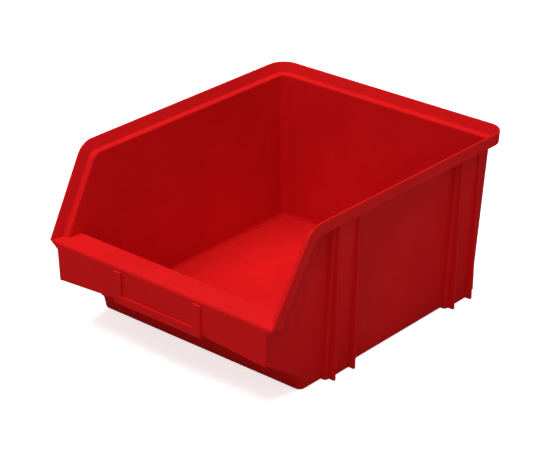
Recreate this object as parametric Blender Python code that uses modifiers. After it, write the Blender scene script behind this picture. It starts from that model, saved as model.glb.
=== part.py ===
"""Stackable open-front storage bin in moulded plastic.

The bin is one moulding. It is laid out here as its moulded features: floor, walls, stacking rim,
front lip, apron, label rails and the ribs that double as stacking feet.
Metres, +Z up, front of the bin towards -Y. Origin at the bottom centre of the overall box.
"""
import math

import bmesh
import bpy
from mathutils import Matrix, Vector

for leftover in list(bpy.data.objects):
    bpy.data.objects.remove(leftover, do_unlink=True)

# Overall sizes
LENGTH = 0.275
WIDTH = 0.230
HEIGHT = 0.138

# Moulding
WALL = 0.0025
GAP = 0.0003
SIDE_DRAFT = 0.0484
BACK_DRAFT = 0.047
EDGE_ROUND = 0.0006
EDGE_SEGMENTS = 2
ARC_STEPS = 8

# Stacking rim: a ledge turned outward from the wall, with an upstand along its outer edge
RIM_HEIGHT = 0.0103
RIM_LEDGE = 0.0020
RIM_UPSTAND = 0.0045
RIM_TOP_THICK = 0.0020
RIM_OVERHANG = 0.0078
RIM_CORNER = 0.0150
BEND_RADIUS = 0.0185
REAR_CORNER = 0.0095
CORNER_LEG = 0.0035

# Open front
LABEL_PROJECTION = 0.0018
SLOPE_FOOT_BACK = 0.0010
SLOPE_RUN = 0.0400
LIP_TOP = 0.0715
LIP_THICK = 0.0025
LIP_DEPTH = 0.0237
APRON_BOTTOM = 0.0430
APRON_WING_DROP = 0.0042
APRON_WING_START = 0.42
APRON_FLARE = 0.0038
APRON_PROUD = 0.0008
FRONT_SETBACK = 0.0442
KICK_HEIGHT = 0.0140
KICK_CORNER = 0.0055
KICK_LEG = 0.0025
KICK_LEAN = 0.2

# Label rails on the apron
LABEL_HALF_WIDTH = 0.0435
LABEL_RAIL = 0.0072
LABEL_BOTTOM_BELOW_APRON = 0.0018
LABEL_BOTTOM_RAIL = 0.0070
LABEL_TOP_BELOW_LIP = 0.0015

# Floor
FLOOR = 0.0030

# Side ribs: a raised web with two ribs standing out of it, used as stacking feet
WEB_RAISE = 0.0039
WEB_LEAD = 0.0034
RIB_THICK = 0.0022
RIB_PITCH = 0.0230
RIB_PAIR_PITCH = 0.1470
RIB_FIRST_BACK = 0.0718
RIB_FOOT_STEP = 0.0008
RIB_FOOT_CLEAR = 0.0003
RIB_DRAFT = 0.008
RIB_TOP_BELOW_RIM = 0.0010

# Lines shared by several features
FRONT = -LENGTH / 2
REAR = LENGTH / 2
HALF_WIDTH = WIDTH / 2
LEDGE_TOP = HEIGHT - RIM_HEIGHT + RIM_LEDGE
LEDGE_UNDER = HEIGHT - RIM_HEIGHT
LIP_UNDER = LIP_TOP - LIP_THICK
SIDE_OUT_BASE = HALF_WIDTH - RIM_OVERHANG - SIDE_DRAFT * LEDGE_UNDER
SIDE_IN_BASE = SIDE_OUT_BASE - WALL
RIM_OUT_BASE = HALF_WIDTH - SIDE_DRAFT * HEIGHT
RIM_REAR_BASE = REAR - BACK_DRAFT * HEIGHT
LEDGE_OUT_BASE = RIM_OUT_BASE - RIM_UPSTAND - GAP
BACK_OUT_BASE = REAR - RIM_OVERHANG - BACK_DRAFT * LEDGE_UNDER
BACK_IN_BASE = BACK_OUT_BASE - WALL
KICK_FACE = FRONT + FRONT_SETBACK
APRON_FACE = FRONT + LABEL_PROJECTION
APRON_BACK = APRON_FACE + WALL
LIP_REAR = APRON_FACE + LIP_DEPTH
SLOPE_FOOT = (FRONT + SLOPE_FOOT_BACK, LIP_TOP - GAP)
SLOPE_ANGLE = math.atan2(HEIGHT - SLOPE_FOOT[1], SLOPE_RUN)
BEND_Z = HEIGHT - BEND_RADIUS
BEND_Y = SLOPE_FOOT[0] + (
    BEND_RADIUS + (BEND_Z - SLOPE_FOOT[1]) * math.cos(SLOPE_ANGLE)
) / math.sin(SLOPE_ANGLE)
REAR_LEG_END = BACK_OUT_BASE - REAR_CORNER - CORNER_LEG
RIM_LEG_END = min(RIM_REAR_BASE - RIM_CORNER, BACK_OUT_BASE - REAR_CORNER) - CORNER_LEG
RIM_LEVEL_END = RIM_LEG_END + BACK_DRAFT * LEDGE_UNDER - GAP
KICK_LEG_END = KICK_FACE + KICK_CORNER + KICK_LEG
FOOT_TOP = HEIGHT - LEDGE_TOP
FOOT_OUT = RIM_OUT_BASE + SIDE_DRAFT * LEDGE_TOP - RIM_UPSTAND - RIB_FOOT_CLEAR

PLASTIC = {
    "shell": (0.62, 0.010, 0.012, 1.0),
    "rim": (0.66, 0.012, 0.014, 1.0),
    "front": (0.58, 0.010, 0.012, 1.0),
    "rib": (0.54, 0.009, 0.011, 1.0),
}
PLASTIC_ROUGHNESS = 0.42

SIDE_VIEW = Matrix(((0, 0, 1, 0), (1, 0, 0, 0), (0, 1, 0, 0), (0, 0, 0, 1)))
FRONT_VIEW = Matrix(((1, 0, 0, 0), (0, 0, -1, 0), (0, 1, 0, 0), (0, 0, 0, 1)))
PLAN_VIEW = Matrix.Identity(4)

collection = bpy.data.collections.new("storage_bin")
bpy.context.scene.collection.children.link(collection)


def plastic(name, shade):
    """One satin plastic per feature, all of the same colour family."""
    material = bpy.data.materials.new(name + "_plastic")
    material.use_nodes = True
    surface = material.node_tree.nodes["Principled BSDF"]
    surface.inputs["Base Color"].default_value = PLASTIC[shade]
    surface.inputs["Roughness"].default_value = PLASTIC_ROUGHNESS
    return material


def outline_solid(outline, depth, view, centre=0.0):
    """A flat outline filled and extruded to a solid of the given depth."""
    curve = bpy.data.curves.new("outline", "CURVE")
    curve.dimensions = "2D"
    curve.fill_mode = "BOTH"
    curve.extrude = depth / 2
    spline = curve.splines.new("POLY")
    spline.points.add(len(outline) - 1)
    for point, (u, v) in zip(spline.points, outline):
        point.co = (u, v, 0.0, 1.0)
    spline.use_cyclic_u = True
    carrier = bpy.data.objects.new("outline", curve)
    collection.objects.link(carrier)
    bpy.context.view_layer.update()
    mesh = bpy.data.meshes.new_from_object(carrier)
    bm = bmesh.new()
    bm.from_mesh(mesh)
    bpy.data.objects.remove(carrier, do_unlink=True)
    bpy.data.curves.remove(curve)
    bpy.data.meshes.remove(mesh)
    bmesh.ops.remove_doubles(bm, verts=bm.verts, dist=GAP / 100)
    bmesh.ops.dissolve_limit(bm, angle_limit=math.radians(0.5), verts=bm.verts, edges=bm.edges)
    bmesh.ops.transform(bm, matrix=view @ Matrix.Translation((0, 0, centre)), verts=bm.verts)
    bmesh.ops.recalc_face_normals(bm, faces=bm.faces)
    return bm


def spread(bm, draft):
    """Lean both sides outward with height, as the draft of the moulding does."""
    for vert in bm.verts:
        side = math.copysign(1.0, vert.co.x)
        vert.co.x += side * draft * vert.co.z


def lean_back(bm, draft):
    """Lean a feature towards the rear with height."""
    for vert in bm.verts:
        vert.co.y += draft * vert.co.z


def to_left(bm):
    """Mirror a feature of the right side to the left side."""
    bmesh.ops.transform(bm, matrix=Matrix.Scale(-1, 4, (1, 0, 0)), verts=bm.verts)
    bmesh.ops.reverse_faces(bm, faces=bm.faces)


def place(name, bm, shade, rounding=EDGE_ROUND):
    """Turn the finished solid into a named object with softened edges."""
    mesh = bpy.data.meshes.new(name)
    bm.to_mesh(mesh)
    bm.free()
    mesh.materials.append(plastic(name, shade))
    part = bpy.data.objects.new(name, mesh)
    collection.objects.link(part)
    bevel = part.modifiers.new("edge_round", "BEVEL")
    bevel.width = rounding
    bevel.segments = EDGE_SEGMENTS
    bevel.limit_method = "ANGLE"
    bevel.angle_limit = math.radians(40)
    bevel.harden_normals = False
    return part


def arc(cx, cy, radius, start, end, steps=ARC_STEPS):
    """Points along an arc, angles in degrees from +u towards +v."""
    points = []
    for step in range(steps + 1):
        angle = math.radians(start + (end - start) * step / steps)
        points.append((cx + radius * math.cos(angle), cy + radius * math.sin(angle)))
    return points


def mirrored(points):
    """An outline symmetric about u = 0, from its right half."""
    return points + [(-u, v) for u, v in reversed(points)]


def rim_line(depth, rear_end):
    """The bend and the level run of a line lying `depth` inside the top of the rim."""
    angle = math.degrees(SLOPE_ANGLE)
    bend = arc(BEND_Y, BEND_Z, BEND_RADIUS - depth, 90 + angle, 90)
    return bend + [(rear_end, HEIGHT - depth)]


def carried(section):
    """A solid carried along the rim, its section given as (x, depth below the top line)."""
    foot = LIP_TOP + GAP
    runs = [
        [(slope_y(depth, foot), foot)] + rim_line(depth, RIM_LEVEL_END) for _, depth in section
    ]
    rings = [
        [(x, *run[step]) for (x, _), run in zip(section, runs)] for step in range(len(runs[0]))
    ]
    bm = bmesh.new()
    bm.faces.new([bm.verts.new(point) for point in rings[0]])
    front = bm.faces[:]
    for here, ahead in zip(rings, rings[1:]):
        grown = bmesh.ops.extrude_face_region(bm, geom=front)["geom"]
        for vert in (item for item in grown if isinstance(item, bmesh.types.BMVert)):
            nearest = min(range(len(here)), key=lambda i: (vert.co - Vector(here[i])).length)
            vert.co = ahead[nearest]
        if here is not rings[0]:
            bmesh.ops.delete(bm, geom=front, context="FACES_ONLY")
        front = [item for item in grown if isinstance(item, bmesh.types.BMFace)]
    bmesh.ops.recalc_face_normals(bm, faces=bm.faces)
    return bm


def slope_y(depth, z):
    """Where the sloping part of that line crosses a height."""
    run = (z - SLOPE_FOOT[1]) / math.tan(SLOPE_ANGLE)
    return SLOPE_FOOT[0] + run + depth / math.sin(SLOPE_ANGLE)


def slope_z(depth, y):
    """Where the sloping part of that line crosses a distance from the front."""
    back = y - SLOPE_FOOT[0] - depth / math.sin(SLOPE_ANGLE)
    return SLOPE_FOOT[1] + back * math.tan(SLOPE_ANGLE)


def kick_y(y, z):
    """Where a point of the foot stands once the foot leans forward with height."""
    return y - KICK_LEAN * min(z, KICK_HEIGHT)


# Floor and walls

def floor_panel():
    edge = SIDE_IN_BASE - GAP
    back = BACK_IN_BASE - GAP
    front = KICK_FACE + WALL + GAP
    rear_radius = REAR_CORNER - WALL - GAP
    front_radius = KICK_CORNER - WALL - GAP
    half = arc(edge - front_radius, front + front_radius, front_radius, -90, 0)
    half += arc(edge - rear_radius, back - rear_radius, rear_radius, 0, 90)
    bm = outline_solid(mirrored(half), FLOOR, PLAN_VIEW, FLOOR / 2)
    return place("floor_panel", bm, "shell")


def back_wall():
    height = LEDGE_UNDER - GAP
    inner = REAR_CORNER - WALL
    cx = SIDE_OUT_BASE - REAR_CORNER
    cy = BACK_OUT_BASE - REAR_CORNER
    half = [(SIDE_OUT_BASE, REAR_LEG_END)]
    half += arc(cx, cy, REAR_CORNER, 0, 90)
    outer = mirrored(half)
    half = [(SIDE_IN_BASE, REAR_LEG_END)]
    half += arc(cx, cy, inner, 0, 90)
    outline = outer + list(reversed(mirrored(half)))
    bm = outline_solid(outline, height, PLAN_VIEW, height / 2)
    spread(bm, SIDE_DRAFT)
    lean_back(bm, BACK_DRAFT)
    return place("back_wall", bm, "shell")


def side_wall(name, left):
    top = rim_line(RIM_HEIGHT + GAP, 0.0)[:-1]
    rear = REAR_LEG_END - GAP
    roof = LEDGE_UNDER - GAP
    lip = LIP_UNDER - GAP
    shoulder = slope_y(RIM_HEIGHT, LIP_TOP) + GAP
    corner = APRON_BOTTOM - APRON_WING_DROP
    kick = KICK_HEIGHT + GAP
    leg = KICK_LEG_END + GAP
    outline = [(leg, 0.0), (rear, 0.0), (rear + BACK_DRAFT * roof, roof)]
    outline += list(reversed(top))
    outline += [
        (shoulder, slope_z(RIM_HEIGHT + GAP, shoulder)),
        (shoulder, lip),
        (APRON_BACK + GAP, lip),
        (APRON_BACK + GAP, corner),
        (kick_y(KICK_FACE, kick), kick),
        (kick_y(leg, kick), kick),
    ]
    bm = outline_solid(outline, WALL, SIDE_VIEW, SIDE_OUT_BASE - WALL / 2)
    spread(bm, SIDE_DRAFT)
    if left:
        to_left(bm)
    return place(name, bm, "shell")


def kick_wall():
    cy = KICK_FACE + KICK_CORNER
    cx = SIDE_OUT_BASE - KICK_CORNER
    half = [(SIDE_OUT_BASE, KICK_LEG_END)]
    half += arc(cx, cy, KICK_CORNER, 0, -90)
    outer = mirrored(half)
    half = [(SIDE_IN_BASE, KICK_LEG_END)]
    half += arc(cx, cy, KICK_CORNER - WALL, 0, -90)
    outline = outer + list(reversed(mirrored(half)))
    bm = outline_solid(outline, KICK_HEIGHT, PLAN_VIEW, KICK_HEIGHT / 2)
    spread(bm, SIDE_DRAFT)
    lean_back(bm, -KICK_LEAN)
    return place("front_kick_wall", bm, "shell")


def front_wall():
    low = KICK_HEIGHT + GAP
    high = LIP_UNDER - GAP
    foot = kick_y(KICK_FACE, low)
    outline = [
        (foot, low),
        (foot + WALL, low),
        (LIP_REAR, high),
        (LIP_REAR - WALL, high),
    ]
    bm = outline_solid(outline, 2 * (SIDE_IN_BASE - GAP), SIDE_VIEW)
    spread(bm, SIDE_DRAFT)
    return place("front_wall", bm, "shell")


# Stacking rim

def side_rim(name, left, section):
    bm = carried(section)
    spread(bm, SIDE_DRAFT)
    if left:
        to_left(bm)
    return place(name, bm, "rim")


def rim_ledge(name, left):
    top = RIM_HEIGHT - RIM_LEDGE
    section = [
        (LEDGE_OUT_BASE, top),
        (SIDE_IN_BASE, top),
        (SIDE_IN_BASE, RIM_HEIGHT),
        (LEDGE_OUT_BASE, RIM_HEIGHT),
    ]
    return side_rim(name, left, section)


def rim_upstand(name, left):
    """The upstand is thin at its top and thickens down to the ledge."""
    inner = RIM_OUT_BASE - RIM_UPSTAND
    section = [
        (RIM_OUT_BASE, 0.0),
        (RIM_OUT_BASE - RIM_TOP_THICK, 0.0),
        (inner, RIM_HEIGHT - RIM_LEDGE),
        (inner, RIM_HEIGHT),
        (RIM_OUT_BASE, RIM_HEIGHT),
    ]
    return side_rim(name, left, section)


def thin_top(bm, centre_x, centre_y, radius):
    """Give the back upstand the same thin top, its inner face slanting down to the ledge."""
    geometry = bm.verts[:] + bm.edges[:] + bm.faces[:]
    level = (0.0, 0.0, LEDGE_TOP)
    bmesh.ops.bisect_plane(bm, geom=geometry, dist=GAP / 100, plane_co=level, plane_no=(0, 0, 1))
    for vert in bm.verts:
        reach = Vector((max(abs(vert.co.x) - centre_x, 0.0), max(vert.co.y - centre_y, 0.0)))
        if vert.co.z > HEIGHT - GAP and reach.length < radius + GAP:
            reach *= (RIM_UPSTAND - RIM_TOP_THICK) / reach.length
            vert.co.x += math.copysign(reach.x, vert.co.x)
            vert.co.y += reach.y


def back_rim(name, inset, inner_x, inner_y, inner_radius, high):
    """The rim across the back, turning both rear corners; the inset is from the rim's outer face."""
    out_x = RIM_OUT_BASE - inset
    out_y = RIM_REAR_BASE - inset
    radius = RIM_CORNER - inset
    half = [(out_x, RIM_LEG_END)] + arc(out_x - radius, out_y - radius, radius, 0, 90)
    outer = mirrored(half)
    half = [(inner_x, RIM_LEG_END)]
    half += arc(inner_x - inner_radius, inner_y - inner_radius, inner_radius, 0, 90)
    outline = outer + list(reversed(mirrored(half)))
    bm = outline_solid(outline, high - LEDGE_UNDER, PLAN_VIEW, (high + LEDGE_UNDER) / 2)
    if high > LEDGE_TOP:
        thin_top(bm, inner_x - inner_radius, inner_y - inner_radius, inner_radius)
    spread(bm, SIDE_DRAFT)
    lean_back(bm, BACK_DRAFT)
    return place(name, bm, "rim")


# Front lip, apron and label rails

def front_lip():
    wide = RIM_OUT_BASE + SIDE_DRAFT * LIP_TOP
    narrow = SIDE_IN_BASE + SIDE_DRAFT * LIP_UNDER - GAP
    shoulder = slope_y(RIM_HEIGHT, LIP_TOP)
    half = [(wide, APRON_FACE), (wide, shoulder), (narrow, shoulder), (narrow, LIP_REAR)]
    bm = outline_solid(mirrored(half), LIP_THICK, PLAN_VIEW, LIP_TOP - LIP_THICK / 2)
    return place("front_lip", bm, "front")


def front_apron():
    top = LIP_UNDER - GAP
    flare = top - APRON_FLARE
    corner = APRON_BOTTOM - APRON_WING_DROP
    half_width = SIDE_OUT_BASE + APRON_PROUD
    half = [
        (RIM_OUT_BASE + SIDE_DRAFT * top - GAP, top),
        (half_width + SIDE_DRAFT * flare, flare),
        (half_width + SIDE_DRAFT * corner, corner),
        (half_width * APRON_WING_START, APRON_BOTTOM),
    ]
    middle = -(APRON_FACE + APRON_BACK) / 2
    bm = outline_solid(mirrored(half), WALL, FRONT_VIEW, middle)
    return place("front_apron", bm, "front")


def label_rail(name, outline):
    """A rail standing on the apron's face."""
    depth = LABEL_PROJECTION - GAP
    bm = outline_solid(outline, depth, FRONT_VIEW, -FRONT - depth / 2)
    return place(name, bm, "front", EDGE_ROUND / 2)


def label_rails():
    low = APRON_BOTTOM - LABEL_BOTTOM_BELOW_APRON
    sill = low + LABEL_BOTTOM_RAIL
    top = LIP_UNDER - LABEL_TOP_BELOW_LIP
    outer = LABEL_HALF_WIDTH
    inner = LABEL_HALF_WIDTH - LABEL_RAIL
    bottom = [(-outer, low), (outer, low), (outer, sill), (-outer, sill)]
    label_rail("label_rail_bottom", bottom)
    right = [(inner, sill + GAP), (outer, sill + GAP), (outer, top), (inner, top)]
    label_rail("label_rail_right", right)
    label_rail("label_rail_left", [(-u, v) for u, v in reversed(right)])


# Side ribs and stacking feet

def rib_web(name, first_rib, left):
    height = LEDGE_UNDER - GAP
    outline = [
        (SIDE_OUT_BASE + GAP, 0.0),
        (SIDE_OUT_BASE + WEB_RAISE, 0.0),
        (SIDE_OUT_BASE + WEB_RAISE + SIDE_DRAFT * height, height),
        (SIDE_OUT_BASE + GAP + SIDE_DRAFT * height, height),
    ]
    width = WEB_LEAD + RIB_PITCH + RIB_THICK
    centre = first_rib - WEB_LEAD + width / 2
    bm = outline_solid(outline, width, FRONT_VIEW, -centre)
    if left:
        to_left(bm)
    return place(name, bm, "rib")


def rib(name, front, left):
    """A tapering rib; its foot steps in so that it stands inside the rim of the bin below."""
    root = SIDE_OUT_BASE + WEB_RAISE + GAP
    top = LEDGE_UNDER - RIB_TOP_BELOW_RIM
    reach = FOOT_OUT + RIB_FOOT_STEP
    outline = [
        (root, 0.0),
        (FOOT_OUT, 0.0),
        (FOOT_OUT, FOOT_TOP),
        (reach, FOOT_TOP + RIB_FOOT_STEP),
        (max(reach + RIB_DRAFT * top, root + SIDE_DRAFT * top + RIB_FOOT_STEP), top),
        (root + SIDE_DRAFT * top, top),
    ]
    bm = outline_solid(outline, RIB_THICK, FRONT_VIEW, -(front + RIB_THICK / 2))
    if left:
        to_left(bm)
    return place(name, bm, "rib", EDGE_ROUND / 2)


floor_panel()
back_wall()
kick_wall()
front_wall()
back_rim(
    "back_rim_ledge",
    RIM_UPSTAND + GAP,
    SIDE_IN_BASE,
    BACK_IN_BASE,
    REAR_CORNER - WALL,
    LEDGE_TOP,
)
back_rim(
    "back_rim_upstand",
    0.0,
    RIM_OUT_BASE - RIM_UPSTAND,
    RIM_REAR_BASE - RIM_UPSTAND,
    RIM_CORNER - RIM_UPSTAND,
    HEIGHT,
)
front_lip()
front_apron()
label_rails()
for side, is_left in (("left", True), ("right", False)):
    side_wall(side + "_side_wall", is_left)
    rim_ledge(side + "_rim_ledge", is_left)
    rim_upstand(side + "_rim_upstand", is_left)
    for pair, place_back in (("front", 0.0), ("rear", RIB_PAIR_PITCH)):
        first = FRONT + RIB_FIRST_BACK + place_back
        rib_web(side + "_" + pair + "_rib_web", first, is_left)
        rib(side + "_" + pair + "_rib_fore", first, is_left)
        rib(side + "_" + pair + "_rib_aft", first + RIB_PITCH, is_left)
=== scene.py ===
import math

import bmesh
import bpy
from bpy.props import FloatProperty, FloatVectorProperty, PointerProperty
from mathutils import Matrix, Vector


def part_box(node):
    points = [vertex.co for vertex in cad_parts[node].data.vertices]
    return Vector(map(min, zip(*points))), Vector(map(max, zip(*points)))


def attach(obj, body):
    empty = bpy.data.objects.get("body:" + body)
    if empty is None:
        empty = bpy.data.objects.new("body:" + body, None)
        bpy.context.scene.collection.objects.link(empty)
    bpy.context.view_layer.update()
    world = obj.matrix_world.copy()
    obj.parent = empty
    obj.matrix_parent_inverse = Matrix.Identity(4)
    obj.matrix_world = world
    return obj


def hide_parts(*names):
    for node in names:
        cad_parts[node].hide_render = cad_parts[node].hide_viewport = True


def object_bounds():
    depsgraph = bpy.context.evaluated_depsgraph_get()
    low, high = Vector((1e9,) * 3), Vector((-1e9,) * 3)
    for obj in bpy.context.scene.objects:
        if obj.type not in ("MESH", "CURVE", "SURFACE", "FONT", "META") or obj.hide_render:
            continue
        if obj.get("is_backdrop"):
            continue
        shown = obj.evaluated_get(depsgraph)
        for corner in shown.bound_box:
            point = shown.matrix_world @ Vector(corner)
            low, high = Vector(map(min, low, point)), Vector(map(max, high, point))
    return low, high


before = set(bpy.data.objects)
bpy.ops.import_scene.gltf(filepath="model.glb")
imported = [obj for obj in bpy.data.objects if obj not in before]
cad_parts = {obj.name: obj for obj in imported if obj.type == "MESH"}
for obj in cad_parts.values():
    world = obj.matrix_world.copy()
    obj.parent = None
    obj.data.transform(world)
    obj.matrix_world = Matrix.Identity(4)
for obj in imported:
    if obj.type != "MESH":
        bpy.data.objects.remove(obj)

bl_info = {
    "name": "Stackable Storage Bin",
    "version": (1, 0, 0),
    "blender": (4, 5, 0),
    "location": "View3D > Sidebar > Storage Bin",
    "description": "Builds an open-front stackable storage bin in satin moulded plastic",
    "category": "Object",
}

CAD_LOW, CAD_HIGH = (Vector(corner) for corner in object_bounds())
HEIGHT = CAD_HIGH.z
FRONT = CAD_LOW.y
REAR = CAD_HIGH.y
HALF_WIDTH = CAD_HIGH.x
LEDGE_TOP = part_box("left_rim_ledge")[1].z
LIP_LOW, LIP_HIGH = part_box("front_lip")
FLOOR_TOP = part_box("floor_panel")[1].z
KICK_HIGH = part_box("front_kick_wall")[1]
APRON_LOW, APRON_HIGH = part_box("front_apron")
LABEL_LOW, LABEL_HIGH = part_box("label_rail_bottom")
LABEL_SIDE_LOW, LABEL_SIDE_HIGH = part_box("label_rail_right")
MM = 0.001

# Fixed details of the moulding
HAIR = 0.005 * MM
EDGE = 0.6 * MM
SMALL_ROUND = 0.8 * MM
FOOT_ROUND = 1.8 * MM
TIGHT_FILLET = 2.3 * MM
FLANGE = 8 * MM
FLOOR_INSET = 4.5 * MM
SLOPE_FOOT_BACK = 1.0 * MM
FOOT_CUT = 0.8 * MM

APRON_FLARE = 3.8 * MM
APRON_PROUD = 0.8 * MM
APRON_EDGE = 0.7 * MM
WING_START = 0.42
WING_DROP = 4.2 * MM
WING_TIP_Z = 50 * MM
NOSE_TIP = 0.4

KICK_LEAN = 0.2
KICK_DEPTH = 8.0 * MM
KICK_CORNER = 5.5 * MM
KICK_FLANGE = 5.2 * MM
KICK_OVERLAP = 0.5 * MM
WALL_TUCK_IN = 0.4 * MM
WALL_TUCK_DOWN = 2.5 * MM
WALL_KNEE = 30 * MM
WALL_TOP_CUT = 1.2 * MM

# Where the side wall's rings stand along the bin
SLOPE_START = 4 * MM
JOIN_Y = -79.0 * MM
JOIN_STEP = 0.8 * MM
CHEEK_STOP = 2.5 * MM
FLOOR_START = 2.2 * MM
LEVEL_START_Y = -72 * MM
FILLET_BLEND = 30 * MM
BEND_STEPS = 14
LEVEL_STEPS = 16
CORNER_STEPS = 12
BACK_STEPS = 6
WING_STEPS = 10

LABEL_SINK = 0.8 * MM
WEB_ROOT = 1.2 * MM
RIB_ROOT = 1.0 * MM
RIB_ROOF = 0.6 * MM
RIB_FOOT_CLEAR = 0.3 * MM
RIB_FOOT_STEP = 0.8 * MM

# Stage, light and camera
PAPER_HALF = 12.0
PAPER_DROP = 0.2 * MM
PAPER_GLOW = 0.75
LAMPS = (
    ("overhead_softbox", 2.9, 50, (5, -1, 0)),
    ("front_fill", 0.34, 30, (65, 0, 25)),
)
SURROUND_LIGHT = 0.30
SURROUND_SEEN = 1.0
LENS = 130.8
SENSOR = 36.0
EYE = Vector((0.9079, -1.0560, 0.7349))
TARGET = Vector((-0.0074, 0.0040, 0.0650))


# Sizes and colours a user would change

class BinSizes(bpy.types.PropertyGroup):
    """Sizes of the moulding."""

    wall: FloatProperty(
        name="Wall", description="Thickness of the walls", default=2.5 * MM,
        min=1.5 * MM, max=4 * MM, unit="LENGTH",
    )
    side_draft: FloatProperty(
        name="Side Draft", description="Outward lean of the side walls per unit of height",
        default=0.0484, min=0.0, max=0.1, subtype="FACTOR",
    )
    back_draft: FloatProperty(
        name="Back Draft", description="Outward lean of the back wall per unit of height",
        default=0.047, min=0.0, max=0.1, subtype="FACTOR",
    )
    rim_height: FloatProperty(
        name="Rim Height", description="Height of the stacking rim's outer face",
        default=10.3 * MM, min=6 * MM, max=16 * MM, unit="LENGTH",
    )
    rim_overhang: FloatProperty(
        name="Rim Overhang", description="How far the rim stands out from the wall under it",
        default=7.8 * MM, min=4 * MM, max=12 * MM, unit="LENGTH",
    )
    rim_upstand: FloatProperty(
        name="Rim Upstand", description="Thickness of the upstand on the rim's outer edge",
        default=4.5 * MM, min=2 * MM, max=6 * MM, unit="LENGTH",
    )
    rim_top: FloatProperty(
        name="Rim Top", description="Thickness of the upstand at its top edge",
        default=1.7 * MM, min=1.2 * MM, max=4 * MM, unit="LENGTH",
    )
    ledge_round: FloatProperty(
        name="Ledge Round", description="Radius where the wall turns out into the ledge",
        default=1.4 * MM, min=0.5 * MM, max=5 * MM, unit="LENGTH",
    )
    bend_radius: FloatProperty(
        name="Rim Bend", description="Radius of the bend from the level rim to the slope",
        default=18.5 * MM, min=12 * MM, max=40 * MM, unit="LENGTH",
    )
    slope_run: FloatProperty(
        name="Slope Run", description="Distance the sloping rim runs back at full height",
        default=40 * MM, min=20 * MM, max=70 * MM, unit="LENGTH",
    )
    rear_corner: FloatProperty(
        name="Rear Corner", description="Outer radius of the upright rear corners",
        default=8.2 * MM, min=6 * MM, max=20 * MM, unit="LENGTH",
    )
    floor_round: FloatProperty(
        name="Floor Round", description="Radius where the walls meet the floor inside",
        default=4.5 * MM, min=2 * MM, max=6 * MM, unit="LENGTH",
    )
    lip_round: FloatProperty(
        name="Lip Round", description="Radius of the front lip's rear edge",
        default=2.1 * MM, min=0.5 * MM, max=2.2 * MM, unit="LENGTH",
    )
    nose_round: FloatProperty(
        name="Nose Round", description="Radius from the front lip down into the apron",
        default=2.9 * MM, min=1 * MM, max=4 * MM, unit="LENGTH",
    )
    web_round: FloatProperty(
        name="Web Round", description="Radius on the leading edge of each raised web",
        default=2.4 * MM, min=0.3 * MM, max=3 * MM, unit="LENGTH",
    )
    rib_edge: FloatProperty(
        name="Rib Edge", description="Radius on the edges of the side ribs",
        default=0.55 * MM, min=0.1 * MM, max=1 * MM, unit="LENGTH",
    )


class BinLook(bpy.types.PropertyGroup):
    """Colours and finish of the plastic, and the stage under it."""

    red: FloatVectorProperty(
        name="Plastic", description="Colour of the moulded plastic", subtype="COLOR",
        default=(0.635, 0.0092, 0.0104), min=0.0, max=1.0,
    )
    red_deep: FloatVectorProperty(
        name="Plastic Deep", description="Colour where the pigment lies thicker", subtype="COLOR",
        default=(0.565, 0.0080, 0.0092), min=0.0, max=1.0,
    )
    roughness: FloatProperty(
        name="Roughness", description="Roughness of the satin mould finish", default=0.38,
        min=0.0, max=1.0, subtype="FACTOR",
    )
    sheen: FloatProperty(
        name="Sheen", description="Strength of the plastic's surface reflection", default=0.012,
        min=0.0, max=1.0, subtype="FACTOR",
    )
    stage: FloatVectorProperty(
        name="Stage", description="Colour of the pale floor", subtype="COLOR",
        default=(0.90, 0.90, 0.90), min=0.0, max=1.0,
    )
    bounce: FloatVectorProperty(
        name="Bounce", description="Brightness of the floor as the bin's sides receive it",
        subtype="COLOR", default=(0.36, 0.35, 0.35), min=0.0, max=1.0,
    )
    mirrored: FloatVectorProperty(
        name="Mirrored", description="Brightness of the floor as the plastic mirrors it",
        subtype="COLOR", default=(0.08, 0.08, 0.08), min=0.0, max=1.0,
    )


def sizes():
    return bpy.context.scene.bin_sizes


def look():
    return bpy.context.scene.bin_look


# Lines of the moulding

class Lines:
    """The moulding's main lines, worked out once from the sizes."""

    def __init__(self):
        s = sizes()
        self.under = HEIGHT - s.rim_height
        self.wall_x = HALF_WIDTH - s.rim_overhang - s.side_draft * self.under
        self.wall_y = REAR - s.rim_overhang - s.back_draft * self.under
        self.rim_out = HALF_WIDTH - s.side_draft * HEIGHT - self.wall_x
        self.rim_in = self.rim_out - s.rim_upstand
        self.ledge_depth = HEIGHT - LEDGE_TOP
        self.foot_y = FRONT + SLOPE_FOOT_BACK
        self.foot_z = LIP_HIGH.z
        self.angle = math.atan2(HEIGHT - self.foot_z, s.slope_run)
        self.bend_z = HEIGHT - s.bend_radius
        rise = (self.bend_z - self.foot_z) * math.cos(self.angle)
        self.bend_y = self.foot_y + (s.bend_radius + rise) / math.sin(self.angle)
        self.kick_y = KICK_HIGH.y - KICK_DEPTH
        self.kick_z = KICK_HIGH.z
        self.kick_face = self.kick_y - KICK_LEAN * self.kick_z
        self.cheek_end = self.kick_face - KICK_OVERLAP
        self.apron_y = APRON_LOW.y
        self.apron_low = APRON_LOW.z
        self.flare_z = APRON_HIGH.z - APRON_FLARE

    def slope_y(self, depth, z):
        """Where the slope stands at a height, at a depth below its outer line."""
        run = (z - self.foot_z) / math.tan(self.angle)
        return self.foot_y + run + depth / math.sin(self.angle)

    def lower_edge_z(self, y):
        """Height of the cheek's lower edge, a straight line from the apron to the kick wall."""
        front_y = self.apron_y + sizes().wall
        share = (y - front_y) / (self.kick_face - front_y)
        share = min(max(share, 0.0), 1.0)
        return self.apron_low + (self.kick_z - self.apron_low) * share

    def apron_end_x(self, z):
        """Where the apron ends at a height, a little proud of the cheek below its flare."""
        proud = APRON_PROUD if z < self.flare_z + 1 * MM else 2 * HAIR
        return self.wall_x + sizes().side_draft * z + proud


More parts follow.
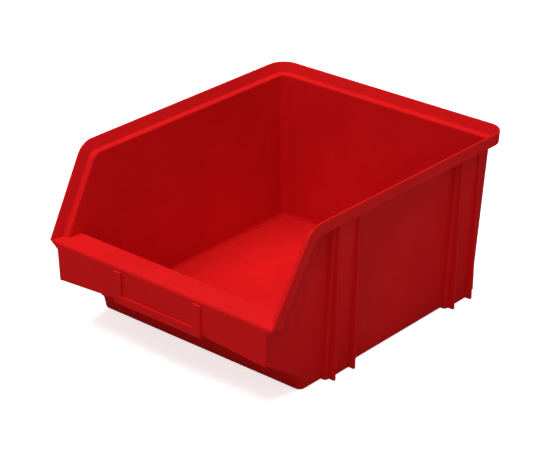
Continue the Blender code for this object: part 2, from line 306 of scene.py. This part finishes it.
def arc(cu, cv, radius, start, end, steps):
    """Points on an arc, angles in degrees from +u towards +v."""
    points = []
    for step in range(steps + 1):
        angle = math.radians(start + (end - start) * step / steps)
        points.append((cu + radius * math.cos(angle), cv + radius * math.sin(angle)))
    return points


# Mesh helpers

def sweep(bm, rings, close_start=True, close_end=False):
    """Carry a closed ring along by extruding its edges to each next ring of positions."""

    def loop_edges(verts):
        pairs = zip(verts, verts[1:] + verts[:1])
        return [bm.edges.get(pair) or bm.edges.new(pair) for pair in pairs]

    verts = [bm.verts.new(co) for co in rings[0]]
    edges = loop_edges(verts)
    if close_start:
        bm.faces.new(verts)
    for ring in rings[1:]:
        grown = set(bmesh.ops.extrude_edge_only(bm, edges=edges)["geom"])
        ahead = []
        for vert in verts:
            links = (edge.other_vert(vert) for edge in vert.link_edges)
            ahead.append(next(other for other in links if other in grown))
        for vert, co in zip(ahead, ring):
            vert.co = co
        verts = ahead
        edges = loop_edges(verts)
    if close_end:
        bm.faces.new(verts)


def extrude_to(bm, faces, move):
    """Extrude faces and move each new point with the given rule; returns the new faces."""
    grown = bmesh.ops.extrude_face_region(bm, geom=faces)["geom"]
    new_faces = [item for item in grown if isinstance(item, bmesh.types.BMFace)]
    for vert in (item for item in grown if isinstance(item, bmesh.types.BMVert)):
        vert.co = move(vert.co)
    bmesh.ops.delete(bm, geom=[f for f in faces if f.is_valid], context="FACES")
    return new_faces


def outline_block(bm, outline, y0, y1):
    """A closed outline in X and Z carried from y0 to y1."""
    face = bm.faces.new([bm.verts.new((x, y0, z)) for x, z in outline])
    grown = bmesh.ops.extrude_face_region(bm, geom=[face])["geom"]
    for vert in (item for item in grown if isinstance(item, bmesh.types.BMVert)):
        vert.co.y = y1


def soften(bm, edges, width, segments=3):
    """Round the given edges."""
    bmesh.ops.bevel(
        bm, geom=edges, offset=width, offset_type="OFFSET", segments=segments,
        profile=0.5, affect="EDGES", material=-1, clamp_overlap=True,
    )


def mirror_half(bm):
    """Mirror the right half to the left and join the two at the middle."""
    bmesh.ops.mirror(
        bm, geom=bm.verts[:] + bm.edges[:] + bm.faces[:], axis="X", merge_dist=0.01 * MM
    )


def finish_piece(name, bm, nodes, sharp=40.0):
    """Turn the solid into a named object with the plastic on it, and hand it to the frame."""
    bmesh.ops.remove_doubles(bm, verts=bm.verts, dist=0.002 * MM)
    bmesh.ops.recalc_face_normals(bm, faces=bm.faces)
    for face in bm.faces:
        face.smooth = True
    mesh = bpy.data.meshes.new(name)
    bm.to_mesh(mesh)
    bm.free()
    mesh.set_sharp_from_angle(angle=math.radians(sharp))
    mesh.materials.append(satin_plastic())
    piece = bpy.data.objects.new(name, mesh)
    bpy.context.scene.collection.objects.link(piece)
    shading = piece.modifiers.new("even_shading", "WEIGHTED_NORMAL")
    shading.keep_sharp = True
    shading.weight = 100
    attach(piece, "root")
    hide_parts(*nodes)
    return piece


# Plastic

def mould_texture():
    """Shader group: fine mould grain, soft flow waviness and a slow pigment drift."""
    group = bpy.data.node_groups.get("mould_texture")
    if group:
        return group
    group = bpy.data.node_groups.new("mould_texture", "ShaderNodeTree")
    face = group.interface
    for label, start in (("Grain Scale", 2600), ("Flow Scale", 16)):
        socket = face.new_socket(label, in_out="INPUT", socket_type="NodeSocketFloat")
        socket.default_value = start
    for label in ("Pigment", "Roughness Shift", "Height"):
        face.new_socket(label, in_out="OUTPUT", socket_type="NodeSocketFloat")
    nodes = group.nodes
    links = group.links
    inlet = nodes.new("NodeGroupInput")
    outlet = nodes.new("NodeGroupOutput")
    place = nodes.new("ShaderNodeTexCoord")

    def noise(scale_socket, detail, rough, stretch=None):
        texture = nodes.new("ShaderNodeTexNoise")
        texture.inputs["Detail"].default_value = detail
        texture.inputs["Roughness"].default_value = rough
        vector = place.outputs["Object"]
        if stretch:
            mapping = nodes.new("ShaderNodeMapping")
            mapping.inputs["Scale"].default_value = stretch
            links.new(vector, mapping.inputs["Vector"])
            vector = mapping.outputs["Vector"]
        links.new(vector, texture.inputs["Vector"])
        links.new(scale_socket, texture.inputs["Scale"])
        return texture.outputs["Fac"]

    grain = noise(inlet.outputs["Grain Scale"], 2.0, 0.55)
    flow = noise(inlet.outputs["Flow Scale"], 3.0, 0.5, (1.0, 0.6, 2.2))
    drift = noise(inlet.outputs["Flow Scale"], 4.0, 0.6)
    span = nodes.new("ShaderNodeMapRange")
    span.inputs["From Min"].default_value = 0.3
    span.inputs["From Max"].default_value = 0.7
    links.new(drift, span.inputs["Value"])
    links.new(span.outputs["Result"], outlet.inputs["Pigment"])
    shift = nodes.new("ShaderNodeMapRange")
    shift.inputs["To Min"].default_value = -0.05
    shift.inputs["To Max"].default_value = 0.05
    links.new(flow, shift.inputs["Value"])
    links.new(shift.outputs["Result"], outlet.inputs["Roughness Shift"])
    links.new(grain, outlet.inputs["Height"])
    return group


def satin_plastic():
    """Satin red polypropylene as it leaves the mould."""
    material = bpy.data.materials.get("satin_red_plastic")
    if material:
        return material
    material = bpy.data.materials.new("satin_red_plastic")
    material.use_nodes = True
    nodes = material.node_tree.nodes
    links = material.node_tree.links
    surface = nodes["Principled BSDF"]
    texture = nodes.new("ShaderNodeGroup")
    texture.node_tree = mould_texture()
    colour = nodes.new("ShaderNodeMix")
    colour.data_type = "RGBA"
    colour.inputs["A"].default_value = (*look().red_deep, 1.0)
    colour.inputs["B"].default_value = (*look().red, 1.0)
    links.new(texture.outputs["Pigment"], colour.inputs["Factor"])
    links.new(colour.outputs["Result"], surface.inputs["Base Color"])
    rough = nodes.new("ShaderNodeMath")
    rough.operation = "ADD"
    rough.inputs[1].default_value = look().roughness
    links.new(texture.outputs["Roughness Shift"], rough.inputs[0])
    links.new(rough.outputs["Value"], surface.inputs["Roughness"])
    bump = nodes.new("ShaderNodeBump")
    bump.inputs["Strength"].default_value = 0.12
    bump.inputs["Distance"].default_value = 0.02 * MM
    links.new(texture.outputs["Height"], bump.inputs["Height"])
    links.new(bump.outputs["Normal"], surface.inputs["Normal"])
    surface.inputs["IOR"].default_value = 1.49
    surface.inputs["Specular IOR Level"].default_value = look().sheen
    return material


# Tub walls and stacking rim

def wall_section(lines, fillet):
    """The wall's cut: floor flange, inner wall, ledge, upstand, rim and outer wall, in order.

    Each point is (kind, out, value): "base" points carry a height above the table, "rim" points
    a depth below the top line of the rim. Out is measured from the outer face of the wall.
    """
    s = sizes()
    inner = -s.wall
    bend = s.ledge_round
    small = SMALL_ROUND
    foot = FOOT_ROUND
    ledge = lines.ledge_depth
    points = [("base", -FLANGE, FLOOR_TOP)]
    for out, z in arc(inner - fillet, FLOOR_TOP + fillet, fillet, -90, 0, 6):
        points.append(("base", out, z))
    points.append(("base", inner, FLOOR_TOP + fillet + 0.4 * MM))

    def rim(pairs):
        for out, up in pairs:
            points.append(("rim", out, -up))

    rim([(inner, -ledge - bend - 0.4 * MM)])
    rim(arc(inner + bend, -ledge - bend, bend, 180, 90, 6))
    rim(arc(lines.rim_in - small, -ledge + small, small, -90, -15, 3))
    top_in = lines.rim_out - s.rim_top
    rim([(top_in - 0.3 * MM, -1.4 * MM)])
    rim(arc(top_in + small, -small, small, 165, 90, 3))
    rim(arc(lines.rim_out - small, -small, small, 90, 0, 3))
    rim([(lines.rim_out, -2.0 * MM), (lines.rim_out, -s.rim_height + 1.2 * MM)])
    rim(arc(lines.rim_out - EDGE, -s.rim_height + EDGE, EDGE, 0, -90, 3))
    rim(arc(small, -s.rim_height - small, small, 90, 180, 3))
    points.append(("base", 0.0, foot + 0.5 * MM))
    for out, z in arc(-foot, foot, foot, 0, -90, 5):
        points.append(("base", out, z))
    points.append(("base", -FLANGE, 0.0))
    return points


def cheek_base(count, index, edge_z):
    """Where a floor point goes on the cheek, which ends in a rounded lower edge."""
    s = sizes()
    inner_steps = 9
    if index < inner_steps:
        share = index / (inner_steps - 1)
        angle = math.radians(-90 - 90 * share)
        return (-s.wall + EDGE + EDGE * math.cos(angle), edge_z + EDGE + EDGE * math.sin(angle))
    share = (index - inner_steps) / (count - inner_steps - 1)
    angle = math.radians(-90 * share)
    return (-EDGE + EDGE * math.cos(angle), edge_z + EDGE + EDGE * math.sin(angle))


def tub_ring(lines, section, top, base, lean=0.0, folded=False):
    """One ring of the wall in space. Top and base say where its rim and base points stand.

    A folded ring keeps its rim points within the wall's own thickness.
    """
    s = sizes()
    base_count = sum(1 for kind, _, _ in section if kind == "base")
    ring = []
    seen = 0
    for kind, out, value in section:
        if kind == "rim":
            y, z = top(value)
            if folded:
                out = min(max(out, -s.wall), 0.0)
        elif base[0] == "cheek":
            out, z = cheek_base(base_count, seen, base[2])
            y = base[1]
            seen += 1
        else:
            y, z = base[1], value
            seen += 1
        x = lines.wall_x + out + s.side_draft * z
        ring.append((x, y + lean * s.back_draft * z, z))
    return ring


def blend_sections(wide, tight, share):
    """The wide section moved towards the tight one by a share from 0 to 1."""
    return [
        (kind, out + (tight_out - out) * share, value + (tight_value - value) * share)
        for (kind, out, value), (_, tight_out, tight_value) in zip(wide, tight)
    ]


def cheek_edge(lines, y):
    return ("cheek", y, lines.lower_edge_z(y))


def level_at(y):
    """The rule for a ring that stands upright under the level rim."""
    return lambda depth: (y, HEIGHT - depth)


def tucked_ring(lines, section):
    """The first ring, folded flat under the lip and behind the apron."""
    s = sizes()
    middle = lines.apron_y + s.wall / 2

    def under_lip(depth):
        z = LIP_LOW.z + 1.0 * MM - 0.4 * MM * depth / s.rim_height
        return middle + 0.2 * MM, z

    base = ("cheek", middle + 1 * MM, lines.apron_low + 0.1 * MM)
    return tub_ring(lines, section, under_lip, base, folded=True)


def slope_rings(lines, section):
    """The foot of the slope, then the bend from the slope up to the level rim."""
    s = sizes()
    foot_cut = LIP_HIGH.z - FOOT_CUT
    start_y = lines.apron_y + s.wall / 2 + SLOPE_START
    slope_end = 90 + math.degrees(lines.angle)

    def on_foot(depth):
        return lines.slope_y(depth, foot_cut), foot_cut

    def on_bend(theta):
        def place(depth):
            radius = s.bend_radius - depth
            y = lines.bend_y + radius * math.cos(theta)
            return y, lines.bend_z + radius * math.sin(theta)

        return place

    rings = [tub_ring(lines, section, on_foot, cheek_edge(lines, start_y))]
    for step in range(BEND_STEPS + 1):
        share = step / BEND_STEPS
        theta = math.radians(slope_end + (90 - slope_end) * share)
        base_y = start_y + (lines.cheek_end - start_y) * (share * 0.92 + 0.04)
        rings.append(tub_ring(lines, section, on_bend(theta), cheek_edge(lines, base_y)))
    return rings


def level_rings(lines, wide, tight):
    """Rings under the level rim, past the kick wall and back to the rear corner."""
    over = lines.kick_z - KICK_OVERLAP
    joins = (
        (JOIN_Y - JOIN_STEP, ("cheek", lines.cheek_end + KICK_OVERLAP, over)),
        (JOIN_Y, ("cheek", KICK_HIGH.y - CHEEK_STOP, over)),
        (JOIN_Y + JOIN_STEP, ("floor", KICK_HIGH.y - FLOOR_START)),
    )
    rings = [tub_ring(lines, tight, level_at(y), base) for y, base in joins]
    corner_y = lines.wall_y - sizes().rear_corner
    for step in range(LEVEL_STEPS + 1):
        share = step / LEVEL_STEPS
        y = LEVEL_START_Y + (corner_y - LEVEL_START_Y) * share
        section = blend_sections(wide, tight, max(0.0, 1 - (y - LEVEL_START_Y) / FILLET_BLEND))
        rings.append(tub_ring(lines, section, level_at(y), ("floor", y), share))
    return rings


def corner_rings(lines, section):
    """Rings turned round the upright rear corner, then carried in to the bin's middle."""
    s = sizes()
    corner_x = lines.wall_x - s.rear_corner
    corner_y = lines.wall_y - s.rear_corner
    rings = []
    for step in range(1, CORNER_STEPS + 1):
        turn = math.radians(90 * step / CORNER_STEPS)
        ring = []
        for kind, out, value in section:
            z = HEIGHT - value if kind == "rim" else value
            reach = s.rear_corner + out
            x = corner_x + reach * math.cos(turn) + s.side_draft * z
            y = corner_y + reach * math.sin(turn) + s.back_draft * z
            ring.append((x, y, z))
        rings.append(ring)
    last = rings[-1]
    for step in range(1, BACK_STEPS + 1):
        keep = 1 - step / BACK_STEPS
        rings.append([(x * keep, y, z) for x, y, z in last])
    return rings


def tub_rings():
    """All rings of the right half, from the front lip to the middle of the back wall."""
    lines = Lines()
    wide = wall_section(lines, sizes().floor_round)
    tight = wall_section(lines, TIGHT_FILLET)
    rings = [tucked_ring(lines, tight)]
    rings += slope_rings(lines, tight)
    rings += level_rings(lines, wide, tight)
    rings += corner_rings(lines, wide)
    return rings


class BIN_OT_tub(bpy.types.Operator):
    """Build the side walls, the back wall and the stacking rim as one moulded shell"""

    bl_idname = "bin.tub"
    bl_label = "Tub Walls and Rim"

    def execute(self, context):
        bm = bmesh.new()
        sweep(bm, tub_rings())
        mirror_half(bm)
        nodes = ["back_wall", "back_rim_ledge", "back_rim_upstand"]
        for side in ("left", "right"):
            nodes += [side + "_side_wall", side + "_rim_ledge", side + "_rim_upstand"]
        finish_piece("tub_walls_and_rim", bm, nodes)
        return {"FINISHED"}


# Floor, kick wall and sloping front wall

def floor_box(bm, lines):
    """The flat floor, its edges hidden under the rounded foot of the walls."""
    low = Vector((-lines.wall_x + FLOOR_INSET, lines.kick_y + FLOOR_INSET, HAIR))
    high = Vector((lines.wall_x - FLOOR_INSET, lines.wall_y - FLOOR_INSET, FLOOR_TOP - HAIR))
    centre = (low + high) / 2
    size = high - low
    matrix = Matrix.Translation(centre) @ Matrix.Diagonal((*size, 1.0))
    bmesh.ops.create_cube(bm, size=1.0, matrix=matrix)


def kick_rings(lines):
    """Rings round the low upright wall at the foot of the front, turning the front corner."""
    s = sizes()
    fillet = TIGHT_FILLET
    foot = FOOT_ROUND
    radius = KICK_CORNER
    section = [(-KICK_FLANGE, FLOOR_TOP)]
    section += arc(-s.wall - fillet, FLOOR_TOP + fillet, fillet, -90, 0, 5)
    section += [(-s.wall, FLOOR_TOP + fillet + 0.4 * MM), (-s.wall, lines.kick_z)]
    section += [(-HAIR, lines.kick_z), (-HAIR, foot + 0.5 * MM)]
    section += [(out - HAIR, z) for out, z in arc(-foot, foot, foot, 0, -90, 5)]
    section += [(-KICK_FLANGE, 2 * HAIR)]
    centre_x = lines.wall_x - radius
    centre_y = lines.kick_y + radius
    rings = []
    for step in range(7):
        keep = step / 6
        rings.append(
            [
                ((centre_x + s.side_draft * z) * keep, lines.kick_y - out - KICK_LEAN * z, z)
                for out, z in section
            ]
        )
    for step in range(1, 9):
        angle = math.radians(90 * step / 8)
        ring = []
        for out, z in section:
            reach = radius + out
            x = centre_x + reach * math.sin(angle) + s.side_draft * z
            ring.append((x, centre_y - reach * math.cos(angle) - KICK_LEAN * z, z))
        rings.append(ring)
    end_y = KICK_HIGH.y
    rings.append([
        (lines.wall_x + out + s.side_draft * z, end_y - KICK_LEAN * z, z) for out, z in section
    ])
    return rings


def front_wall_rings(lines):
    """Rings of the sloping wall from the kick wall up into the lip, from the middle outwards."""
    s = sizes()
    face = lines.kick_face
    top_z = LIP_HIGH.z - WALL_TOP_CUT
    lean = (LIP_HIGH.y - s.wall - face) / (LIP_LOW.z - lines.kick_z)
    top_y = face + lean * (top_z - lines.kick_z)
    knee_y = face + lean * WALL_KNEE
    knee_z = lines.kick_z + WALL_KNEE
    under_z = lines.kick_z - WALL_TUCK_DOWN
    small = 1.0 * MM
    section = [
        (face + WALL_TUCK_IN, under_z), (face, lines.kick_z), (knee_y, knee_z),
        (top_y - lean * small, top_z - small), (top_y, top_z), (top_y + s.wall, top_z),
        (knee_y + s.wall, knee_z), (face + s.wall, lines.kick_z),
        (face + s.wall - WALL_TUCK_IN, under_z),
    ]
    rings = []
    for step in range(9):
        keep = step / 8
        rings.append([
            ((lines.wall_x - s.wall / 2 + s.side_draft * z) * keep, y, z) for y, z in section
        ])
    return rings


class BIN_OT_floor(bpy.types.Operator):
    """Build the floor, the kick wall at its front and the sloping front wall"""

    bl_idname = "bin.floor"
    bl_label = "Floor and Front Wall"

    def execute(self, context):
        lines = Lines()
        bm = bmesh.new()
        sweep(bm, kick_rings(lines), close_start=False, close_end=True)
        sweep(bm, front_wall_rings(lines), close_start=False, close_end=True)
        mirror_half(bm)
        floor_box(bm, lines)
        nodes = ["floor_panel", "front_kick_wall", "front_wall"]
        finish_piece("floor_and_front_wall", bm, nodes)
        return {"FINISHED"}


# Front lip with its apron

def lip_faces(bm, lines):
    """The cut through lip and apron as three touching faces: lip rear, lip front, apron."""
    s = sizes()
    y0 = lines.apron_y
    y1 = y0 + s.wall
    top = LIP_HIGH.z
    under = LIP_LOW.z
    shoulder = lines.slope_y(s.rim_height, LIP_HIGH.z)
    rear = LIP_HIGH.y
    low = APRON_LOW.z + WING_DROP
    flare = lines.flare_z
    radius = s.lip_round
    nose_radius = s.nose_round

    def at(y, z):
        return bm.verts.new((0.0, y, z))

    nose = [
        at(y, z) for y, z in arc(y0 + nose_radius, top - nose_radius, nose_radius, 180, 90, 8)
    ]
    heel = [at(y, z) for y, z in arc(rear - radius, top - radius, radius, 90, 0, 6)]
    heel += [at(rear, under)]
    top_mid = at(shoulder, top)
    under_mid = at(shoulder, under)
    back_top = at(y1, under)
    face_flare = at(y0, flare)
    back_flare = at(y1, flare)
    edge = APRON_EDGE
    face_low = at(y0, low + edge)
    back_low = at(y1, low + edge)
    tip_face = at(y0 + edge * 0.8, low)
    tip_back = at(y1 - edge * 0.8, low)
    rear_face = bm.faces.new([top_mid] + heel + [under_mid])
    front_face = bm.faces.new(nose + [top_mid, under_mid, back_top, back_flare, face_flare])
    apron_face = bm.faces.new([face_flare, back_flare, back_low, tip_back, tip_face, face_low])
    return [rear_face, front_face, apron_face]


def sweep_lip(bm, lines):
    """Carry the cut from the middle to the apron's end, its low edge dropping into the wing."""
    wing = lines.apron_end_x(lines.apron_low) * WING_START
    tip = lines.apron_end_x(WING_TIP_Z)
    stations = [0.0, wing * 0.5, wing]
    stations += [wing + (tip - wing) * step / WING_STEPS for step in range(1, WING_STEPS + 1)]
    shares = [max(0.0, (x - wing) / (tip - wing)) for x in stations]
    faces = lip_faces(bm, lines)
    for index in range(1, len(stations)):
        at_end = index == len(stations) - 1
        sunk = WING_DROP * (shares[index] - shares[index - 1])

        def move(co, x=stations[index], sunk=sunk, at_end=at_end):
            z = co.z - sunk if co.z < lines.flare_z - 0.5 * MM else co.z
            return Vector((lines.apron_end_x(z) if at_end else x, co.y, z))

        faces = extrude_to(bm, faces, move)
    return faces


def carry_lip_end(bm, lines, faces):
    """Carry the lip's front part on across the rim's end; returns the faces of its tip."""
    s = sizes()
    reach = lines.wall_x + lines.rim_out + s.side_draft * LIP_HIGH.z - HAIR

    def in_front(face):
        centre = face.calc_center_median()
        back = max(vert.co.y for vert in face.verts)
        return lines.flare_z < centre.z < LIP_HIGH.z and back < LIP_HIGH.y - 3 * MM

    def to_rim(co):
        y, z = co.y, co.z
        if z < LIP_LOW.z - 1 * MM:
            z = LIP_LOW.z - 0.3 * MM
        if y < lines.apron_y + s.nose_round and z > LIP_LOW.z - 0.5 * MM:
            y = lines.apron_y + (y - lines.apron_y) * NOSE_TIP
            z = LIP_HIGH.z - (LIP_HIGH.z - z) * NOSE_TIP
        return Vector((reach, y, z))

    return extrude_to(bm, [face for face in faces if in_front(face)], to_rim)


def wing_corner(bm, lines):
    """The upright front edge at the end of the apron's wing."""
    front = lines.apron_y + sizes().wall * 0.5
    return [
        e for e in bm.edges
        if len(e.link_faces) == 2
        and abs(e.verts[0].co.x - e.verts[1].co.x) < 1.5 * MM
        and abs(e.verts[0].co.z - e.verts[1].co.z) > 5 * MM
        and all(v.co.z < lines.flare_z + 0.1 * MM and v.co.y < front for v in e.verts)
        and e.calc_face_angle(0.0) > math.radians(60)
    ]


class BIN_OT_lip(bpy.types.Operator):
    """Build the flat front lip and the apron that hangs below it"""

    bl_idname = "bin.lip"
    bl_label = "Front Lip and Apron"

    def execute(self, context):
        lines = Lines()
        bm = bmesh.new()
        tip_faces = carry_lip_end(bm, lines, sweep_lip(bm, lines))
        tip_edges = dict.fromkeys(edge for face in tip_faces for edge in face.edges)
        soften(bm, list(tip_edges), APRON_EDGE)
        soften(bm, wing_corner(bm, lines), SMALL_ROUND)
        mirror_half(bm)
        finish_piece("front_lip_and_apron", bm, ["front_lip", "front_apron"])
        return {"FINISHED"}


# Label frame

class BIN_OT_label(bpy.types.Operator):
    """Build the label frame on the apron, open at its top so that a card slides in"""

    bl_idname = "bin.label"
    bl_label = "Label Frame"

    def execute(self, context):
        outer = LABEL_HIGH.x
        inner = LABEL_SIDE_LOW.x
        low = LABEL_LOW.z
        sill = LABEL_HIGH.z
        top = LABEL_SIDE_HIGH.z
        outline = [
            (-outer, low), (outer, low), (outer, top), (inner, top),
            (inner, sill), (-inner, sill), (-inner, top), (-outer, top),
        ]
        bm = bmesh.new()
        outline_block(bm, outline, FRONT, Lines().apron_y + LABEL_SINK)
        bmesh.ops.recalc_face_normals(bm, faces=bm.faces)
        soften(bm, [e for e in bm.edges if all(v.co.y < FRONT + HAIR for v in e.verts)], EDGE)
        nodes = ["label_rail_bottom", "label_rail_left", "label_rail_right"]
        finish_piece("label_frame", bm, nodes)
        return {"FINISHED"}


# Side ribs

def rib_group(bm, lines, prefix):
    """One raised web with its two tapering ribs, on the right side."""
    s = sizes()
    web_low, web_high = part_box(prefix + "_rib_web")
    roof = lines.under + RIB_ROOF
    raise_x = web_high.x - s.side_draft * web_high.z
    root = lines.wall_x - WEB_ROOT
    outline_block(
        bm,
        [(root, HAIR), (raise_x, HAIR), (raise_x + s.side_draft * roof, roof),
         (root + s.side_draft * roof, roof)],
        web_low.y, web_high.y,
    )
    lead = [
        e for e in bm.edges
        if all(v.co.y < web_low.y + HAIR and v.co.x > lines.wall_x + MM for v in e.verts)
        and abs(e.verts[0].co.z - e.verts[1].co.z) > 50 * MM
    ]
    soften(bm, lead, s.web_round, 4)
    foot_z = HEIGHT - LEDGE_TOP
    for name in ("_rib_fore", "_rib_aft"):
        low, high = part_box(prefix + name)
        foot_x = lines.wall_x + lines.rim_in + s.side_draft * LEDGE_TOP - RIB_FOOT_CLEAR
        reach = foot_x + RIB_FOOT_STEP
        inner = raise_x - RIB_ROOT
        outline = [
            (inner, 0.0), (foot_x, 0.0), (foot_x, foot_z), (reach, foot_z + RIB_FOOT_STEP),
            (high.x, roof), (inner + s.side_draft * roof, roof),
        ]
        outline_block(bm, outline, low.y, high.y)
    bmesh.ops.recalc_face_normals(bm, faces=bm.faces)
    outside = [
        e for e in bm.edges
        if e.calc_face_angle(0.0) > math.radians(50)
        and min(v.co.x - s.side_draft * v.co.z for v in e.verts) > lines.wall_x + 2.6 * MM
        and max(v.co.z for v in e.verts) < roof + 1 * MM
        and not all(v.co.z > roof - 0.1 * MM for v in e.verts)
    ]
    soften(bm, outside, s.rib_edge)


class BIN_OT_ribs(bpy.types.Operator):
    """Build the side ribs whose stepped lower ends are the stacking feet"""

    bl_idname = "bin.ribs"
    bl_label = "Side Ribs"

    def execute(self, context):
        lines = Lines()
        for side in ("right", "left"):
            for pair in ("front", "rear"):
                bm = bmesh.new()
                rib_group(bm, lines, "right_" + pair)
                if side == "left":
                    bmesh.ops.scale(bm, vec=(-1, 1, 1), verts=bm.verts)
                prefix = side + "_" + pair
                nodes = [prefix + tail for tail in ("_rib_web", "_rib_fore", "_rib_aft")]
                finish_piece(prefix + "_ribs", bm, nodes)
        return {"FINISHED"}


# Stage

def quiet_paper(paint):
    """Keep the pale floor from filling the bin's sides with bounced and mirrored white."""
    nodes = paint.node_tree.nodes
    links = paint.node_tree.links
    paper = nodes["Principled BSDF"]
    grey = nodes.new("ShaderNodeBsdfDiffuse")
    grey.inputs["Color"].default_value = (*look().bounce, 1.0)
    dark = nodes.new("ShaderNodeBsdfDiffuse")
    dark.inputs["Color"].default_value = (*look().mirrored, 1.0)
    path = nodes.new("ShaderNodeLightPath")
    first = nodes.new("ShaderNodeMixShader")
    second = nodes.new("ShaderNodeMixShader")
    links.new(path.outputs["Is Diffuse Ray"], first.inputs[0])
    links.new(paper.outputs["BSDF"], first.inputs[1])
    links.new(grey.outputs["BSDF"], first.inputs[2])
    links.new(path.outputs["Is Glossy Ray"], second.inputs[0])
    links.new(first.outputs["Shader"], second.inputs[1])
    links.new(dark.outputs["BSDF"], second.inputs[2])
    links.new(second.outputs["Shader"], nodes["Material Output"].inputs["Surface"])


def lay_paper(scene):
    """Lay the pale floor just under the bin."""
    bm = bmesh.new()
    bmesh.ops.create_grid(bm, x_segments=2, y_segments=2, size=PAPER_HALF)
    mesh = bpy.data.meshes.new("stage_floor")
    bm.to_mesh(mesh)
    bm.free()
    floor = bpy.data.objects.new("stage_floor", mesh)
    floor.location.z = -PAPER_DROP
    scene.collection.objects.link(floor)
    paint = bpy.data.materials.new("stage_paper")
    paint.use_nodes = True
    paper = paint.node_tree.nodes["Principled BSDF"]
    paper.inputs["Base Color"].default_value = (*look().stage, 1.0)
    paper.inputs["Roughness"].default_value = 0.9
    paper.inputs["Specular IOR Level"].default_value = 0.1
    paper.inputs["Emission Color"].default_value = (*look().stage, 1.0)
    paper.inputs["Emission Strength"].default_value = PAPER_GLOW
    quiet_paper(paint)
    mesh.materials.append(paint)
    floor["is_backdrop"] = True


def hang_lamps(scene):
    """A broad soft light overhead and a weak one from the front."""
    for name, energy, spread, turn in LAMPS:
        light = bpy.data.lights.new(name, "SUN")
        light.energy = energy
        light.angle = math.radians(spread)
        lamp = bpy.data.objects.new(name, light)
        lamp.rotation_euler = [math.radians(angle) for angle in turn]
        scene.collection.objects.link(lamp)


def set_surround(scene):
    """A white surround that lights the bin less than it shows behind it."""
    world = bpy.data.worlds.new("soft_surround")
    world.use_nodes = True
    nodes = world.node_tree.nodes
    links = world.node_tree.links
    surround = nodes["Background"]
    surround.inputs["Color"].default_value = (1, 1, 1, 1)
    path = nodes.new("ShaderNodeLightPath")
    level = nodes.new("ShaderNodeMapRange")
    level.inputs["To Min"].default_value = SURROUND_LIGHT
    level.inputs["To Max"].default_value = SURROUND_SEEN
    links.new(path.outputs["Is Camera Ray"], level.inputs["Value"])
    links.new(level.outputs["Result"], surround.inputs["Strength"])
    scene.world = world
    scene.view_settings.view_transform = "Standard"


def place_camera(scene):
    lens = bpy.data.cameras.new("camera")
    lens.lens = LENS
    lens.sensor_width = SENSOR
    lens.clip_end = 100.0
    camera = bpy.data.objects.new("camera", lens)
    camera.location = EYE
    camera.rotation_euler = (TARGET - EYE).to_track_quat("-Z", "Y").to_euler()
    scene.collection.objects.link(camera)
    scene.camera = camera


class BIN_OT_stage(bpy.types.Operator):
    """Set the pale floor, the soft light and the camera"""

    bl_idname = "bin.stage"
    bl_label = "Stage"

    def execute(self, context):
        scene = context.scene
        lay_paper(scene)
        hang_lamps(scene)
        set_surround(scene)
        place_camera(scene)
        return {"FINISHED"}


class BIN_PT_panel(bpy.types.Panel):
    """Storage bin panel in the 3D view's sidebar"""

    bl_idname = "BIN_PT_panel"
    bl_label = "Storage Bin"
    bl_space_type = "VIEW_3D"
    bl_region_type = "UI"
    bl_category = "Storage Bin"

    def draw(self, context):
        column = self.layout.column()
        for group in (context.scene.bin_sizes, context.scene.bin_look):
            for name in group.__annotations__:
                column.prop(group, name)
        for operator in PIECES:
            column.operator(operator.bl_idname)


PIECES = (BIN_OT_tub, BIN_OT_floor, BIN_OT_lip, BIN_OT_label, BIN_OT_ribs, BIN_OT_stage)
CLASSES = (BinSizes, BinLook) + PIECES + (BIN_PT_panel,)


def register():
    for cls in CLASSES:
        bpy.utils.register_class(cls)
    bpy.types.Scene.bin_sizes = PointerProperty(type=BinSizes)
    bpy.types.Scene.bin_look = PointerProperty(type=BinLook)


def unregister():
    del bpy.types.Scene.bin_look
    del bpy.types.Scene.bin_sizes
    for cls in reversed(CLASSES):
        bpy.utils.unregister_class(cls)


def main():
    register()
    bpy.ops.bin.tub()
    bpy.ops.bin.floor()
    bpy.ops.bin.lip()
    bpy.ops.bin.label()
    bpy.ops.bin.ribs()
    bpy.ops.bin.stage()


if __name__ == "__main__":
    main()
